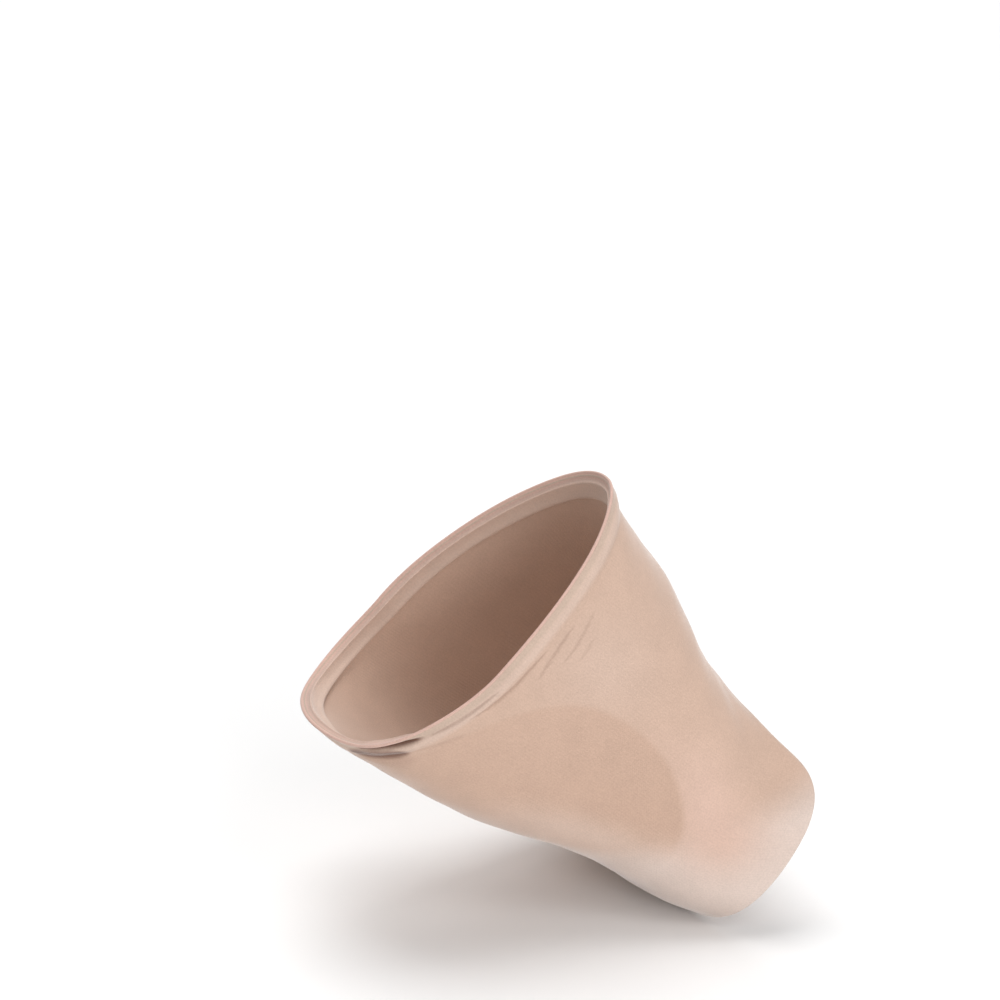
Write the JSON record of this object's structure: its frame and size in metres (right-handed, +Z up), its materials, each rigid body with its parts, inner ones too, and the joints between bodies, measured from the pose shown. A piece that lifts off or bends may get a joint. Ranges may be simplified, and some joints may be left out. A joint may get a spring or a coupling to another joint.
{
  "type": "arch support sleeve",
  "caption": "Knitted arch support sleeve for the left foot, a slanted open tube with a turned heel hem and a gel pad inside under the arch.",
  "frame": {"origin": "middle of the hollow, where the arch of the foot sits", "axes": "+X towards the toes, +Y towards the little toe side, +Z up, with the sole sloping down to the toes as on a lifted heel"},
  "size_m": [0.1157, 0.0867, 0.1065],
  "materials": {
    "knit": "fine circular knit, matte beige",
    "hem": "turned double knit with a rolled rim, matte beige",
    "gel": "soft matte gel, skin coloured"
  },
  "bodies": {
    "root": {"sleeve_body": "knit", "rear_hem": "hem", "arch_pad": "gel"}
  },
  "joints": []
}
